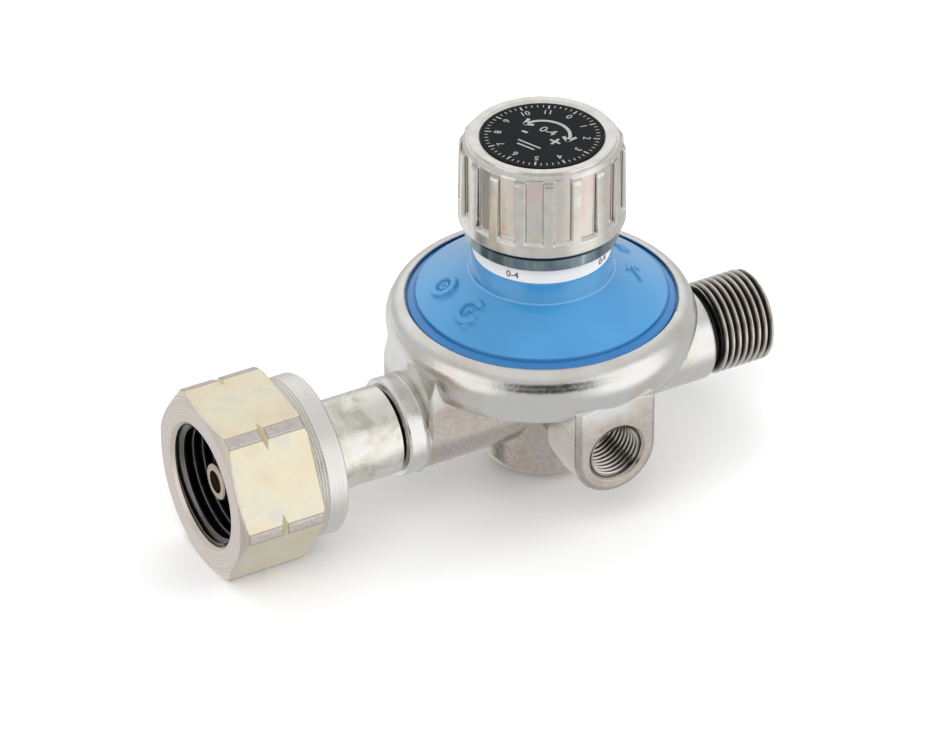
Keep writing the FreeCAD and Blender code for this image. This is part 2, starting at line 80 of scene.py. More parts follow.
KNOB_HIGH_R, KNOB_HIGH_Z = 14.1, 47.4
KNOB_RING_R = 12.64
FLUTES = 18
FLUTE_TURN_DEG = -5.1
FLUTE_HALF = 1.55
FLUTE_FLOOR_R = 13.45
FLUTE_FOOT_Z = 36.7
FLUTE_TOP = 48.9
FLUTE_FOOT_SLOPE = 1.38
FLUTE_CORNER = 0.9
FLUTE_SOFT = 0.16
STEM_R = 7.9
STEM_NECK_X = 34.8
NUT_CORNER_R = 16.9
NUT_CHAMFER = 0.85
NUT_HEX_END = 15.1
NUT_MOUTH_DEPTH = 0.65

# ---- print ------------------------------------------------------------------------------
GENERIC_RANGE = "0-4"
SCALE_PRINT_Z = 28.5
SCALE_PRINT_DEG = (-144.5, -60.0)
DIAL_TICKS = 60
DIAL_FIGURES = 12
DIAL_FIGURE_R = 7.5
DIAL_TICK_END_R = 9.8
DIAL_ARROW_R = 4.7
DIAL_LEAN_DEG = -67.0
PRINT_HALF = 0.015
PRINT_LIFT = 0.02

# ---- camera, at the photograph's viewing angle ------------------------------------------
CAMERA_AZIMUTH = -28.91
CAMERA_ELEVATION = 33.82
CAMERA_ROLL = -0.30
CAMERA_TARGET = (53.84, 3.91, 4.29)
CAMERA_DISTANCE = 853.4
CAMERA_LENS = 189.6

# ---- studio -----------------------------------------------------------------------------
STUDIO_PLAIN = 0.60
PATCH_FULL, PATCH_END = 0.55, 1.25
# Patches of the studio that the metal mirrors: direction, half widths, brightness. A patch is at
# its full brightness up to PATCH_FULL of its half widths, and fades out by PATCH_END.
STUDIO = [
    ((0.00, 0.00, -1.00), (1.1, 1.1, 0.80), 0.60),
    ((0.30, 0.75, 0.60), (0.9, 0.7, 0.6), 0.90),
    ((0.00, 0.00, 1.00), (0.8, 0.8, 0.5), 0.75),
    ((-0.30, 0.75, -0.55), (0.5, 0.5, 0.5), 0.85),
    ((0.60, -0.80, 0.05), (0.70, 0.50, 0.75), 1.15),
    ((-0.95, -0.10, 0.00), (0.35, 0.50, 0.55), 1.10),
    ((-0.45, -0.86, 0.22), (0.72, 0.40, 0.20), 0.03),
    ((-0.75, 0.40, -0.50), (0.25, 0.25, 0.35), 0.30),
]


# ---- mesh helpers -----------------------------------------------------------------------
def about_x(x, r, turn):
    """Point around the gas axis."""
    return Vector((x, -r * math.sin(turn), r * math.cos(turn)))


def about_z(z, r, turn):
    """Point around the knob axis."""
    return Vector((KNOB_X + r * math.cos(turn), r * math.sin(turn), z))


def about_port(y, r, turn):
    """Point around the gauge port. It turns against about_x, so LEFT_HAND gives a right-hand thread."""
    return Vector((KNOB_X + r * math.cos(turn), y, r * math.sin(turn)))


def even_turns(count, way):
    """Angles of one full turn. A thread advances with them, so their way gives its hand."""
    return [way * TURN * k / count for k in range(count)]


def mesh_piece(name, build, sharp_deg=35.0):
    """Object from a bmesh in millimetres, with its doubles merged and its sharp edges marked."""
    bmesh.ops.remove_doubles(build, verts=build.verts, dist=1e-4)
    bmesh.ops.dissolve_degenerate(build, edges=build.edges, dist=1e-4)
    bmesh.ops.recalc_face_normals(build, faces=build.faces)
    bmesh.ops.scale(build, vec=(MM, MM, MM), verts=build.verts)
    data = bpy.data.meshes.new(name)
    build.to_mesh(data)
    build.free()
    data.shade_smooth()
    data.set_sharp_from_angle(angle=math.radians(sharp_deg))
    piece = bpy.data.objects.new(name, data)
    bpy.context.scene.collection.objects.link(piece)
    return piece


def skin(name, rows, seam=None, sharp_deg=35.0):
    """Closed skin over rings of points. seam(i) is the row that row i meets after a full turn."""
    build = bmesh.new()
    grid = [[build.verts.new(p) for p in row] for row in rows]
    count = len(rows)
    columns = len(rows[0])
    for i in range(count):
        j = (i + 1) % count
        for c in range(columns - 1):
            build.faces.new((grid[i][c], grid[j][c], grid[j][c + 1], grid[i][c + 1]))
        low, high = (seam(i), seam(j)) if seam else (i, j)
        corners = [grid[i][-1], grid[j][-1], grid[high][0], grid[low][0]]
        if low == high:
            corners.pop()
        build.faces.new(corners)
    return mesh_piece(name, build, sharp_deg)


def turned(name, profile, place, turns, relief, sharp_deg):
    """Solid of revolution from a closed profile of (along, radius). relief moves its points."""
    rows = [[place(*relief(along, radius, t), t) for t in turns] for along, radius in profile]
    return skin(name, rows, sharp_deg=sharp_deg)


def divided(path, step, start, end):
    """The closed path with extra points every step on its stretches from point start to point end."""
    points = []
    for k, here in enumerate(path):
        points.append(here)
        there = path[(k + 1) % len(path)]
        if start <= k < end:
            gap = math.dist(here, there)
            count = max(1, round(gap / step))
            for s in range(1, count):
                share = s / count
                points.append(tuple(a + (b - a) * share for a, b in zip(here, there)))
    return points


def smooth_step(value):
    """0 below 0, 1 above 1, and an S curve between."""
    value = min(max(value, 0.0), 1.0)
    return value * value * (3 - 2 * value)


def rounded(path, steps=5):
    """Profile from corners (along, radius, fillet), each corner rounded by its fillet."""
    points = []
    for k, (u, w, fillet) in enumerate(path):
        here = Vector((u, w))
        if fillet == 0:
            points.append((u, w))
            continue
        before = Vector(path[k - 1][:2]) - here
        after = Vector(path[(k + 1) % len(path)][:2]) - here
        half = before.angle(after) / 2
        back = min(fillet / math.tan(half), before.length * 0.49, after.length * 0.49)
        start = here + before.normalized() * back
        end = here + after.normalized() * back
        for s in range(steps + 1):
            t = s / steps
            p = start * (1 - t) ** 2 + here * 2 * t * (1 - t) + end * t * t
            points.append((p.x, p.y))
    return points


def thread_height(phase, crest=0.12, root=0.16):
    """Height of a thread from 0 in the groove to 1 at the crest, at a phase of one pitch."""
    away = abs(phase % 1.0 - 0.5) * 2
    slope = min(max((away - crest) / (1 - crest - root), 0), 1)
    rise = 1 - slope
    return rise * rise * (3 - 2 * rise) * 0.35 + rise * 0.65


def threaded_rows(start, end, pitch, radius_at, place, turns, steps=14):
    """Rings that follow a thread's helix from start to end, and the seam step between them."""
    count = int(math.ceil((end - start) / pitch * steps)) + steps
    rows = []
    for i in range(count + 1):
        row = []
        for c, turn in enumerate(turns):
            share = c / len(turns)
            along = start + (i - steps) * pitch / steps + pitch * share
            along = min(max(along, start), end)
            row.append(place(along, radius_at(along, share), turn))
        rows.append(row)
    return rows, steps


# ---- material helpers -------------------------------------------------------------------
class Look:
    """One procedural material. Positions are the row frame in millimetres."""

    def __init__(self, name, **values):
        self.material = bpy.data.materials.new("look_" + name)
        self.material.use_nodes = True
        self.tree = self.material.node_tree
        self.shader = self.tree.nodes["Principled BSDF"]
        for socket, value in values.items():
            self.shader.inputs[socket.replace("_", " ")].default_value = value
        coordinates = self.tree.nodes.new("ShaderNodeTexCoord")
        scale = self.add("ShaderNodeVectorMath", operation="SCALE")
        self.tree.links.new(coordinates.outputs["Object"], scale.inputs[0])
        scale.inputs["Scale"].default_value = 1 / MM
        self.place = scale.outputs[0]
        self.normal = None

    def add(self, kind, **settings):
        """New node with its settings."""
        node = self.tree.nodes.new(kind)
        for key, value in settings.items():
            setattr(node, key, value)
        return node

    def plug(self, value, socket):
        """Links an output to a socket, or sets a plain number or colour on it."""
        if isinstance(value, bpy.types.NodeSocket):
            self.tree.links.new(value, socket)
        else:
            socket.default_value = value

    def noise(self, size, detail=3.0, roughness=0.55, stretch=(1, 1, 1), distortion=0.0):
        """Noise from 0 to 1 whose blobs are about size millimetres, stretched along the axes."""
        mapping = self.add("ShaderNodeMapping")
        self.tree.links.new(self.place, mapping.inputs["Vector"])
        mapping.inputs["Scale"].default_value = [1 / s for s in stretch]
        node = self.add("ShaderNodeTexNoise")
        self.tree.links.new(mapping.outputs[0], node.inputs["Vector"])
        node.inputs["Scale"].default_value = 1 / size
        node.inputs["Detail"].default_value = detail
        node.inputs["Roughness"].default_value = roughness
        node.inputs["Distortion"].default_value = distortion
        return node.outputs["Fac"]

    def lines(self, value, size):
        """Turned lines: noise from 0 to 1 that changes only along value, about size millimetres apart."""
        node = self.add("ShaderNodeTexNoise", noise_dimensions="1D")
        self.plug(value, node.inputs["W"])
        node.inputs["Scale"].default_value = 1 / size
        node.inputs["Detail"].default_value = 2
        return node.outputs["Fac"]

    def ramp(self, value, stops):
        """Colours along a value. stops are (position, (r, g, b))."""
        node = self.add("ShaderNodeValToRGB")
        self.plug(value, node.inputs[0])
        elements = node.color_ramp.elements
        while len(elements) < len(stops):
            elements.new(0.5)
        for element, (position, colour) in zip(elements, stops):
            element.position = position
            element.color = (*colour, 1)
        return node.outputs["Color"]

    def spread(self, value, low, high, from_low=0.3, from_high=0.7):
        """Maps a value onto low to high."""
        node = self.add("ShaderNodeMapRange")
        self.plug(value, node.inputs["Value"])
        node.inputs["From Min"].default_value = from_low
        node.inputs["From Max"].default_value = from_high
        node.inputs["To Min"].default_value = low
        node.inputs["To Max"].default_value = high
        return node.outputs[0]

    def rise(self, value, start, end):
        """0 before start and 1 after end."""
        return self.spread(value, 0, 1, start, end)

    def fall(self, value, start, end):
        """1 before start and 0 after end."""
        return self.spread(value, 1, 0, start, end)

    def math(self, operation, a, b):
        """Result of one math node."""
        node = self.add("ShaderNodeMath", operation=operation)
        self.plug(a, node.inputs[0])
        self.plug(b, node.inputs[1])
        return node.outputs[0]

    def blend(self, share, a, b):
        """Mix of two colours."""
        node = self.add("ShaderNodeMix", data_type="RGBA")
        self.plug(share, node.inputs[0])
        for value, socket in ((a, node.inputs[6]), (b, node.inputs[7])):
            self.plug(value if isinstance(value, bpy.types.NodeSocket) else (*value, 1), socket)
        return node.outputs[2]

    def axis_distance(self, axis, centre=(0, 0, 0)):
        """Distance from a line through centre along axis 0, 1 or 2."""
        shift = self.add("ShaderNodeVectorMath", operation="SUBTRACT")
        self.tree.links.new(self.place, shift.inputs[0])
        shift.inputs[1].default_value = centre
        flat = self.add("ShaderNodeVectorMath", operation="MULTIPLY")
        self.tree.links.new(shift.outputs[0], flat.inputs[0])
        flat.inputs[1].default_value = [0 if k == axis else 1 for k in range(3)]
        length = self.add("ShaderNodeVectorMath", operation="LENGTH")
        self.tree.links.new(flat.outputs[0], length.inputs[0])
        return length.outputs["Value"]

    def along(self, axis):
        """Position along X, Y or Z."""
        node = self.add("ShaderNodeSeparateXYZ")
        self.tree.links.new(self.place, node.inputs[0])
        return node.outputs[axis]

    def wear(self, radius):
        """1 on convex edges and 0 elsewhere, from how far a bevelled normal leans."""
        bevel = self.add("ShaderNodeBevel", samples=6)
        bevel.inputs["Radius"].default_value = radius * MM
        geometry = self.add("ShaderNodeNewGeometry")
        dot = self.add("ShaderNodeVectorMath", operation="DOT_PRODUCT")
        self.tree.links.new(bevel.outputs[0], dot.inputs[0])
        self.tree.links.new(geometry.outputs["Normal"], dot.inputs[1])
        return self.fall(dot.outputs["Value"], 0.82, 0.995)

    def soften(self, radius):
        """Rounds the shading of hard edges over a radius."""
        bevel = self.add("ShaderNodeBevel", samples=6)
        bevel.inputs["Radius"].default_value = radius * MM
        self.normal = bevel.outputs[0]

    def bump(self, height, depth):
        """Bumps of a depth in millimetres on top of what is there."""
        node = self.add("ShaderNodeBump")
        node.inputs["Strength"].default_value = 1.0
        node.inputs["Distance"].default_value = depth * MM
        self.plug(height, node.inputs["Height"])
        if self.normal:
            self.tree.links.new(self.normal, node.inputs["Normal"])
        self.normal = node.outputs[0]

    def done(self, **links):
        """Links outputs to shader sockets and returns the material."""
        for socket, value in links.items():
            self.plug(value, self.shader.inputs[socket.replace("_", " ")])
        if self.normal:
            self.tree.links.new(self.normal, self.shader.inputs["Normal"])
        return self.material


# ---- materials --------------------------------------------------------------------------
def cast_zinc():
    """Tumbled zinc die casting: bright grain, a warm tint, and painted shade, greyer and pinker, low
    between the arms.
    """
    look = Look("cast_zinc", Metallic=1.0)
    patches = look.noise(8.0, detail=2)
    tint = look.ramp(patches, [(0.35, (0.74, 0.70, 0.65)), (0.5, (0.80, 0.79, 0.76)),
                               (0.65, (0.76, 0.77, 0.77))])
    # Painted shade: the casting turns greyer, pinker and darker low down between the arms.
    low_shade_tint = look.ramp(patches, [(0.35, (0.46, 0.38, 0.33)), (0.5, (0.50, 0.44, 0.37)),
                                   (0.65, (0.49, 0.42, 0.40))])
    uneven_z = look.math("ADD", look.along(2), look.spread(patches, -1.5, 1.5))
    low = look.fall(uneven_z, 5.0, 9.5)
    between_arms = look.math("MULTIPLY", look.rise(look.along(0), 38.8, 40.0),
                             look.fall(look.along(0), 76.0, 84.0))
    colour = look.blend(look.math("MULTIPLY", low, between_arms), tint, low_shade_tint)
    mottle = look.noise(0.8, detail=5, roughness=0.7)
    colour = look.blend(look.spread(mottle, 0.0, 0.35), colour, (0.86, 0.84, 0.80))
    look.soften(0.35)
    look.bump(look.noise(2.4, detail=3), 0.045)
    look.bump(look.noise(0.40, detail=3), 0.016)
    return look.done(Base_Color=colour, Roughness=look.spread(mottle, 0.14, 0.28))


def blue_paint():
    """Glossy enamel with slight orange peel: deeper outside the cone, with a paler painted highlight in
    the fold below the neck and paler painted glints on edges.
    """
    look = Look("blue_paint", Coat_Weight=1.0, Coat_Roughness=0.05, Coat_IOR=1.5, IOR=1.4)
    shade = look.noise(14.0, detail=2)
    colour = look.ramp(shade, [(0.3, (0.038, 0.245, 0.51)), (0.7, (0.048, 0.280, 0.57))])
    reach = look.axis_distance(2, (KNOB_X, 0, 0))
    outside = look.rise(reach, CONE_STEP_R - 0.1, CONE_STEP_R + 0.1)
    colour = look.blend(outside, colour, (0.006, 0.155, 0.42))
    # Painted highlight: a thin paler ring where the cone turns up into the neck.
    crease_highlight = look.math("MULTIPLY", look.rise(reach, CONE_HIGH_R - 0.12, CONE_HIGH_R - 0.02),
                       look.fall(reach, CONE_HIGH_R + 0.04, CONE_HIGH_R + 0.16))
    colour = look.blend(look.math("MULTIPLY", crease_highlight, 0.32), colour, (0.42, 0.68, 0.88))
    # Painted glints: paler blue on the convex edges of the raised marks and of the cover.
    colour = look.blend(look.math("MULTIPLY", look.wear(0.22), 0.45), colour, (0.30, 0.58, 0.86))
    look.bump(look.noise(0.9, detail=2), 0.003)
    return look.done(Base_Color=colour, Roughness=look.spread(look.noise(5.0), 0.30, 0.42))


def scale_white():
    """Satin white coat of the scale ring."""
    look = Look("scale_white", IOR=1.45)
    colour = look.ramp(look.noise(3.0), [(0.3, (0.84, 0.84, 0.84)), (0.7, (0.90, 0.90, 0.90))])
    look.bump(look.noise(0.3), 0.003)
    return look.done(Base_Color=colour, Roughness=look.spread(look.noise(1.5), 0.30, 0.42))


def knob_zinc():
    """Passivated zinc die casting: pink, yellow and green film in the recesses, painted shade at their
    walls, bright ribs with edges lighter, partly worn and partly painted highlight.
    """
    look = Look("knob_zinc", Metallic=1.0)
    film = look.noise(3.6, detail=2, stretch=(1, 1, 3.0))
    tint = look.ramp(film, [(0.30, (0.82, 0.66, 0.62)), (0.42, (0.86, 0.74, 0.68)),
                            (0.52, (0.86, 0.80, 0.70)), (0.60, (0.78, 0.78, 0.70)),
                            (0.70, (0.80, 0.70, 0.76))])
    silver = look.ramp(look.noise(2.2, detail=3), [(0.35, (0.76, 0.73, 0.68)), (0.65, (0.86, 0.84, 0.80))])
    reach = look.axis_distance(2, (KNOB_X, 0, 0))
    height = look.along(2)
    # Painted shade: a dark band along the foot of each recess wall next to the floor; it is lighter grey
    # on the sloping foot.
    walls = look.blend(look.rise(height, FLUTE_FOOT_Z - 0.1, FLUTE_FOOT_Z + 0.1),
                       (0.70, 0.67, 0.62), (0.20, 0.17, 0.14))
    colour = look.blend(look.rise(reach, FLUTE_FLOOR_R + 0.02, FLUTE_FLOOR_R + 0.12), tint, walls)
    colour = look.blend(look.rise(reach, FLUTE_FLOOR_R + 0.22, FLUTE_FLOOR_R + 0.42), colour, silver)
    colour = look.blend(look.rise(height, KNOB_HIGH_Z + 0.4, KNOB_HIGH_Z + 1.2), colour, silver)
    # Lighter convex edges on the ribs: partly wear, partly a painted highlight.
    colour = look.blend(look.math("MULTIPLY", look.wear(0.3), 0.45), colour, (0.93, 0.92, 0.90))
    look.soften(0.2)
    look.bump(look.noise(1.8, detail=2), 0.020)
    return look.done(Base_Color=colour, Roughness=look.spread(look.noise(0.9, detail=4), 0.12, 0.24))


def skirt_chrome():
    """Bright plated sleeve whose blotchy dark blue-grey colour is a painted reflection of the blue cover,
    darker as a painted shadow line where it goes up into the knob.
    """
    look = Look("skirt_chrome", Metallic=1.0)
    # Painted reflection: the blotchy dark blue-grey colour stands in for the blue cover mirrored in the
    # sleeve.
    blue_reflection_blots = look.noise(3.0, stretch=(1, 1, 3))
    colour = look.ramp(blue_reflection_blots, [(0.35, (0.14, 0.20, 0.25)), (0.58, (0.26, 0.33, 0.37)),
                               (0.70, (0.48, 0.52, 0.52))])
    # Painted shadow: a near-black line on the sleeve just below the knob.
    gap = look.rise(look.along(2), KNOB_LOW - 1.20, KNOB_LOW - 0.90)
    colour = look.blend(gap, colour, (0.02, 0.02, 0.02))
    look.bump(look.noise(0.5, stretch=(8, 8, 1)), 0.002)
    return look.done(Base_Color=colour, Roughness=look.spread(look.noise(1.2), 0.06, 0.12))


def label_black():
    """Satin black lacquer of the dial, faintly mottled."""
    look = Look("label_black", IOR=1.4, Specular_IOR_Level=0.12)
    colour = look.ramp(look.noise(4.0), [(0.3, (0.003, 0.004, 0.005)), (0.7, (0.006, 0.007, 0.009))])
    look.bump(look.noise(0.25, detail=2), 0.002)
    return look.done(Base_Color=colour, Roughness=look.spread(look.noise(2.0), 0.35, 0.45))


def stem_steel():
    """Turned and zinc plated tube: streaks run around it, yellow shows in places, its neck is black."""
    look = Look("stem_steel", Metallic=1.0)
    patches = look.noise(4.0, detail=4, distortion=0.6)
    tint = look.ramp(patches, [(0.34, (0.56, 0.55, 0.48)), (0.47, (0.76, 0.73, 0.62)),
                               (0.60, (0.86, 0.85, 0.81))])
    lines = look.lines(look.along(0), 0.25)
    tint = look.blend(look.spread(lines, 0.0, 0.30), tint, (0.88, 0.87, 0.84))
    neck = look.math("MULTIPLY", look.fall(look.axis_distance(0), STEM_R - 0.25, STEM_R - 0.05),
                     look.rise(look.along(0), STEM_NECK_X + 0.35, STEM_NECK_X + 0.45))
    tint = look.blend(neck, tint, (0.010, 0.010, 0.010))
    look.bump(lines, 0.004)
    look.bump(look.noise(1.4, detail=3), 0.012)
    return look.done(Base_Color=tint, Roughness=look.spread(patches, 0.20, 0.30))


def nut_passivated():
    """Yellow passivated steel: cream flats, grey-pink turned corners and face, a silver collar."""
    look = Look("nut_passivated", Metallic=1.0)
    patches = look.noise(6.0, detail=3)
    flats = look.ramp(patches, [(0.32, (0.86, 0.72, 0.58)), (0.45, (0.90, 0.80, 0.58)),
                                (0.58, (0.90, 0.84, 0.64)), (0.70, (0.80, 0.78, 0.68))])
    reach = look.axis_distance(0)
    along = look.along(0)
    rings = look.blend(look.rise(along, 0.9, 1.0), look.lines(reach, 0.30), look.lines(along, 0.22))
    grey = look.ramp(rings, [(0.30, (0.62, 0.54, 0.49)), (0.5, (0.76, 0.68, 0.63)),
                             (0.70, (0.84, 0.79, 0.73))])
    silver = look.ramp(rings, [(0.35, (0.74, 0.72, 0.69)), (0.6, (0.92, 0.90, 0.87))])
    band = look.ramp(look.noise(0.8, detail=4), [(0.35, (0.60, 0.54, 0.51)), (0.65, (0.74, 0.69, 0.66))])
    outline = look.rise(reach, NUT_CORNER_R - 0.24, NUT_CORNER_R - 0.18)
    colour = look.blend(outline, flats, (0.42, 0.36, 0.32))
    colour = look.blend(look.rise(reach, NUT_CORNER_R - 0.10, NUT_CORNER_R - 0.04), colour, band)
    colour = look.blend(look.fall(along, 0.05, NUT_CHAMFER + 0.1), colour, grey)
    colour = look.blend(look.rise(along, NUT_HEX_END, NUT_HEX_END + 0.1), colour, silver)
    speck = look.noise(0.45, detail=4, roughness=0.7)
    colour = look.blend(look.spread(speck, 0.0, 0.30), colour, (0.92, 0.87, 0.76))
    look.soften(0.22)
    look.bump(look.noise(0.25, detail=3), 0.006)
    look.bump(look.noise(2.5, detail=2), 0.015)
    return look.done(Base_Color=colour, Roughness=look.spread(speck, 0.30, 0.42))


def thread_steel(name, axis, centre, groove_r, crest_r, crest=(0.82, 0.78, 0.72)):
    """Cut thread: bright burnished crests and dark grooves, their dark being painted shade."""
    look = Look(name, Metallic=1.0)
    streak = look.noise(1.6, detail=3)
    # Painted shade: colour by distance from the axis, near black in the grooves and bright on the crests.
    height = look.rise(look.axis_distance(axis, centre), groove_r, crest_r)
    height = look.math("ADD", height, look.spread(streak, -0.08, 0.08))
    colour = look.ramp(height, [(0.08, (0.030, 0.032, 0.035)), (0.42, (0.22, 0.19, 0.16)),
                                (0.70, [share * 0.62 for share in crest]), (0.92, crest)])
    look.bump(look.noise(0.3, detail=2), 0.004)
    return look.done(Base_Color=colour, Roughness=look.spread(streak, 0.16, 0.26))


def plain_metal(name, low, high, rough):
    """Turned metal of one colour with fine streaks."""
    look = Look(name, Metallic=1.0)
    streak = look.noise(1.5, detail=3)
    colour = look.ramp(streak, [(0.3, low), (0.7, high)])
    look.bump(look.noise(0.3, detail=2), 0.005)
    return look.done(Base_Color=colour, Roughness=look.spread(streak, rough, rough + 0.10))


def black_rubber():
    """Matt black seals and diaphragm with a fine grain."""
    look = Look("black_rubber", IOR=1.5)
    colour = look.ramp(look.noise(2.0), [(0.3, (0.012, 0.012, 0.013)), (0.7, (0.020, 0.020, 0.021))])
    look.bump(look.noise(0.2, detail=3), 0.01)
    return look.done(Base_Color=colour, Roughness=look.spread(look.noise(1.0), 0.45, 0.6))


def all_materials():
    """Materials by the record's slot names."""
    return {
        "cast_zinc": cast_zinc(),
        "blue_paint": blue_paint(),
        "scale_white": scale_white(),
        "knob_zinc": knob_zinc(),
        "skirt_chrome": skirt_chrome(),
        "label_black": label_black(),
        "stem_steel": stem_steel(),
        "nut_passivated": nut_passivated(),
        "thread_steel": thread_steel("outlet_thread", 0, (0, 0, 0), OUTLET_ROOT_R, OUTLET_THREAD_R),
        "nipple_brass": plain_metal("nipple_brass", (0.52, 0.44, 0.35), (0.62, 0.53, 0.43), 0.26),
        "brass": plain_metal("brass", (0.62, 0.46, 0.20), (0.72, 0.56, 0.28), 0.22),
        "plated_steel": plain_metal("plated_steel", (0.52, 0.52, 0.50), (0.64, 0.64, 0.62), 0.22),
        "spring_steel": plain_metal("spring_steel", (0.30, 0.30, 0.30), (0.42, 0.42, 0.42), 0.25),
        "black_rubber": black_rubber(),
    }


# ---- outlet, nut and port threads -------------------------------------------------------
def outlet_stud():
    """Outlet with its left-hand helical thread, end chamfer, cone seat and bore."""
    end = OUTLET_END
    nose_start = end - 0.55

    def radius_at(x, share):
        height = thread_height(x / OUTLET_PITCH - share)
        radius = OUTLET_ROOT_R + (OUTLET_THREAD_R - OUTLET_ROOT_R) * height
        return min(radius, OUTLET_THREAD_R - max(0.0, x - nose_start))

    turns = even_turns(120, LEFT_HAND)
    before = [(end - 2.8, OUTLET_BORE_R), (OUTLET_TAIL_X, OUTLET_BORE_R),
              (OUTLET_TAIL_X, OUTLET_TAIL_R), (SHANK_END - 0.3, OUTLET_TAIL_R),
              (SHANK_END - 0.3, OUTLET_ROOT_R - 0.1), (OUTLET_THREAD_X, OUTLET_ROOT_R - 0.1)]
    after = [(end, OUTLET_THREAD_R - 0.9), (end, 5.75), (end - 0.1, 5.6)]
    first = [[about_x(x, r, t) for t in turns] for x, r in before]
    middle, step = threaded_rows(OUTLET_THREAD_X, end - 0.05, OUTLET_PITCH, radius_at, about_x, turns)
    last = [[about_x(x, r, t) for t in turns] for x, r in after]
    low, high = len(first), len(first) + len(middle) - 1
    piece = skin("outlet_stud", first + middle + last,
                 seam=lambda i: min(i + step, high) if low <= i <= high else i)
    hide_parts("outlet_nipple")
    return piece


def inner_thread(name, start, end, pitch, wall_r, crest_r, mouth_r, place, turns):
    """Thin sleeve with a helical thread inside and a 45 degree countersink of mouth_r at start."""
    groove_r = wall_r - 0.02

    def radius_at(depth, share):
        height = thread_height(depth / pitch - share)
        radius = groove_r - (groove_r - crest_r) * height
        return max(radius, min(mouth_r - depth, wall_r - 0.01))

    def along(depth, radius, turn):
        return place(start + depth, radius, turn)

    length = end - start
    inner, step = threaded_rows(0.0, length, pitch, radius_at, along, turns)
    outer = [[along(depth, wall_r + 0.06, t) for t in turns] for depth in (length, 0.0)]
    high = len(inner) - 1
    return skin(name, inner + outer, seam=lambda i: min(i + step, high) if i <= high else i)


def nut_thread():
    """Left-hand thread in the union nut."""
    return inner_thread("union_nut_thread", NUT_MOUTH_DEPTH, NUT_THREAD_LEN - 0.05, NUT_PITCH,
                        NUT_THREAD_R, NUT_CREST_R, NUT_THREAD_R, about_x, even_turns(144, LEFT_HAND))


def port_thread():
    """Right-hand thread in the gauge port, about_port turning the other way."""
    start, end = PORT_FACE_Y + PORT_MOUTH_DEPTH, PORT_FACE_Y + PORT_THREAD_LEN - 0.05
    return inner_thread("gauge_port_thread", start, end, PORT_PITCH, PORT_THREAD_R, PORT_CREST_R,
                        PORT_CREST_R + 0.1, about_port, even_turns(96, LEFT_HAND))


# ---- bonnet -----------------------------------------------------------------------------
def stroke(points, half_width, height):
    """One raised line of a mark."""
    return {"points": points, "half": half_width, "height": height}


def arc(radius, start_deg, end_deg, squeeze=1.0, count=24):
    """Points of an arc, as (across, up)."""
    points = []
    for k in range(count + 1):
        a = math.radians(start_deg + (end_deg - start_deg) * k / count)
        points.append((radius * math.cos(a), radius * squeeze * math.sin(a)))
    return points


def marks():
    """Plain raised marks on the cone: two rings on one side, an arrow and bars on the other.

    turn is a mark's angle in degrees, radius its distance from the knob axis, reach its own size.
    """
    ring = [stroke(arc(1.95, 0, 360), 0.80, 0.75), stroke(arc(0.55, 0, 360, squeeze=1.3), 0.40, 0.50)]
    open_ring = [stroke(arc(2.1, 60, 330), 0.85, 0.75), stroke(arc(0.5, 40, 250), 0.38, 0.50),
                 stroke([(1.0, -2.9), (1.5, -2.6)], 0.40, 0.50)]
    arrow = [stroke([(-1.7, -1.2), (1.4, 1.0)], 0.38, 0.42),
             stroke([(1.5, -0.7), (1.6, 1.2), (-0.2, 1.4)], 0.38, 0.42)]
    bars = [stroke([(k * 0.85, -0.8), (k * 0.85 + 0.3, 0.8)], 0.32, 0.38) for k in (-1, 0, 1)]
    return [{"turn": 162.5, "radius": 16.9, "reach": 3.4, "strokes": ring},
            {"turn": -166.5, "radius": 16.8, "reach": 4.0, "strokes": open_ring},
            {"turn": -28.0, "radius": 16.0, "reach": 2.6, "strokes": arrow},
            {"turn": 1.0, "radius": 16.3, "reach": 2.0, "strokes": bars}]


def stroke_height(one, u, v):
    """Height of one stroke at a point: flat on top, falling steeply to 0 at its half width."""
    nearest = one["half"]
    for a, b in zip(one["points"], one["points"][1:]):
        du, dv = b[0] - a[0], b[1] - a[1]
        share = ((u - a[0]) * du + (v - a[1]) * dv) / (du * du + dv * dv)
        share = min(max(share, 0.0), 1.0)
        nearest = min(nearest, math.hypot(u - a[0] - du * share, v - a[1] - dv * share))
    return one["height"] * smooth_step(2.2 * (1 - nearest / one["half"]))


def angle_gap(a_deg, b_deg):
    """Signed gap between two angles, from -180 to 180."""
    return (a_deg - b_deg + 180) % 360 - 180


